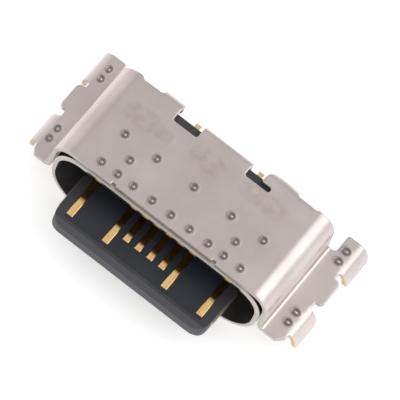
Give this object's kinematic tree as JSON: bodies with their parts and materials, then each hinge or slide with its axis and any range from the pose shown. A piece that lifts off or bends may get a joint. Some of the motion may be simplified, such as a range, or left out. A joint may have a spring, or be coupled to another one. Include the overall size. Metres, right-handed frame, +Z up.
{
  "type": "charging port connector",
  "caption": "Mid-mount charging receptacle: a stamped metal cover with wings and board legs over a rounded metal mouth, with a moulded contact tongue.",
  "frame": {"origin": "middle of the flat underside of the mouth tube, on which the part rests", "axes": "+X across the mouth to the right seen from the plug, +Y into the board, away from the plug, +Z up"},
  "size_m": [0.0114, 0.0065, 0.0031],
  "materials": {
    "cover_steel": "dull plated sheet",
    "tube_steel": "satin drawn steel",
    "plate_steel": "bare sheared steel",
    "black_moulding": "fine matt moulding",
    "insulator_moulding": "fine matt moulding",
    "contact_gold": "gold plated, satin"
  },
  "bodies": {
    "root": {"cover_plate": "cover_steel", "mouth_tube": "tube_steel", "mid_plate": "plate_steel", "housing": "black_moulding", "upper_insulator": "insulator_moulding", "lower_insulator": "insulator_moulding", "upper_contact_1": "contact_gold", "upper_contact_2": "contact_gold", "upper_contact_3": "contact_gold", "upper_contact_4": "contact_gold", "upper_contact_5": "contact_gold", "upper_contact_6": "contact_gold", "upper_contact_7": "contact_gold", "upper_contact_8": "contact_gold", "lower_contact_1": "contact_gold", "lower_contact_2": "contact_gold", "lower_contact_3": "contact_gold", "lower_contact_4": "contact_gold", "lower_contact_5": "contact_gold", "lower_contact_6": "contact_gold", "lower_contact_7": "contact_gold", "lower_contact_8": "contact_gold"}
  },
  "joints": []
}
